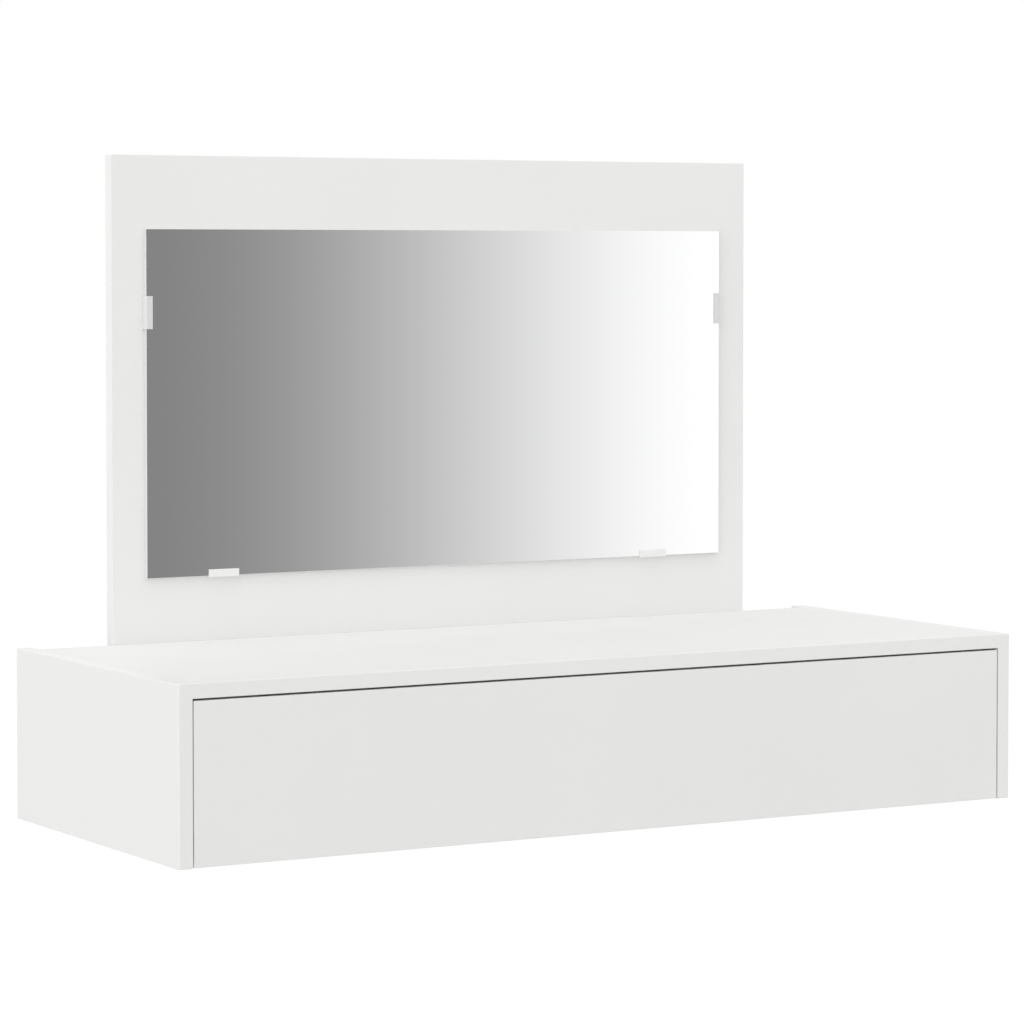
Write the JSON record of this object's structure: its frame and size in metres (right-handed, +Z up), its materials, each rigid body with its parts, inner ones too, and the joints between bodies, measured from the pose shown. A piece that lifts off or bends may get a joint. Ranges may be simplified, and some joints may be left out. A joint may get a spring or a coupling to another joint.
{
  "type": "wall-hung dressing table with mirror",
  "caption": "Low wall-hung dressing table of white boards with a handleless inset drawer on roller runners and an upright panel carrying a clipped rectangular mirror.",
  "frame": {"origin": "centre of the base, on the plane the case rests on", "axes": "+X to the right seen from the front, +Y towards the wall, +Z up"},
  "size_m": [1, 0.4, 0.7],
  "materials": {
    "white_melamine": "white satin melamine facing",
    "white_hardboard": "white lacquered hardboard",
    "mirror_silver": "silvered float glass",
    "clip_plastic": "moulded white plastic",
    "clip_grey": "moulded white plastic with a light grey lip",
    "runner_enamel": "white powder coat",
    "zinc_steel": "bright zinc plate",
    "roller_nylon": "natural white nylon",
    "beech": "plain beech"
  },
  "bodies": {
    "case": {"side_panel_left": "white_melamine", "side_panel_right": "white_melamine", "top_panel": "white_melamine", "bottom_panel": "white_melamine", "back_panel": "white_melamine", "mirror_panel": "white_melamine", "mirror_glass": "mirror_silver", "mirror_clip_left": "clip_grey", "mirror_clip_right": "clip_grey", "mirror_clip_bottom_left": "clip_plastic", "mirror_clip_bottom_right": "clip_plastic", "mirror_clip_screws": "zinc_steel", "mirror_panel_screws": "zinc_steel", "wall_bracket_left": "zinc_steel", "wall_bracket_right": "zinc_steel", "wall_bracket_screws": "zinc_steel", "case_dowels": "beech", "case_cam_bolts": "zinc_steel", "case_cam_locks": "zinc_steel", "case_runner_left": "runner_enamel", "case_runner_right": "runner_enamel", "case_runner_screws": "zinc_steel", "case_roller_axles": "zinc_steel"},
    "drawer": {"drawer_front": "white_melamine", "drawer_side_left": "white_melamine", "drawer_side_right": "white_melamine", "drawer_back": "white_melamine", "drawer_bottom": "white_hardboard", "drawer_cam_bolts": "zinc_steel", "drawer_cam_locks": "zinc_steel", "drawer_dowels": "beech", "drawer_back_screws": "zinc_steel", "drawer_bottom_screws": "zinc_steel", "drawer_runner_left": "runner_enamel", "drawer_runner_right": "runner_enamel", "drawer_runner_screws": "zinc_steel", "drawer_roller_axles": "zinc_steel"},
    "front_roller_left": {"front_roller_left": "roller_nylon"},
    "front_roller_right": {"front_roller_right": "roller_nylon"},
    "rear_roller_left": {"rear_roller_left": "roller_nylon"},
    "rear_roller_right": {"rear_roller_right": "roller_nylon"}
  },
  "joints": [
    {"name": "drawer_slide", "type": "slide", "parent": "case", "child": "drawer", "axis": [0, -1, 0], "range_m": [0, 0.225]},
    {"name": "front_roller_left_spin", "type": "hinge", "parent": "case", "child": "front_roller_left", "pos_m": [-0.4793, -0.163, 0.038], "axis": [1, 0, 0], "continuous": true},
    {"name": "rear_roller_left_spin", "type": "hinge", "parent": "drawer", "child": "rear_roller_left", "pos_m": [-0.4782, 0.11, 0.036], "axis": [1, 0, 0], "continuous": true},
    {"name": "front_roller_right_spin", "type": "hinge", "parent": "case", "child": "front_roller_right", "pos_m": [0.4793, -0.163, 0.038], "axis": [1, 0, 0], "continuous": true},
    {"name": "rear_roller_right_spin", "type": "hinge", "parent": "drawer", "child": "rear_roller_right", "pos_m": [0.4782, 0.11, 0.036], "axis": [1, 0, 0], "continuous": true}
  ],
  "couplings": [
    {"joint": "front_roller_left_spin", "follows": "drawer_slide", "rad_per_m": 93.458},
    {"joint": "rear_roller_left_spin", "follows": "drawer_slide", "rad_per_m": 93.458},
    {"joint": "front_roller_right_spin", "follows": "drawer_slide", "rad_per_m": 93.458},
    {"joint": "rear_roller_right_spin", "follows": "drawer_slide", "rad_per_m": 93.458}
  ]
}
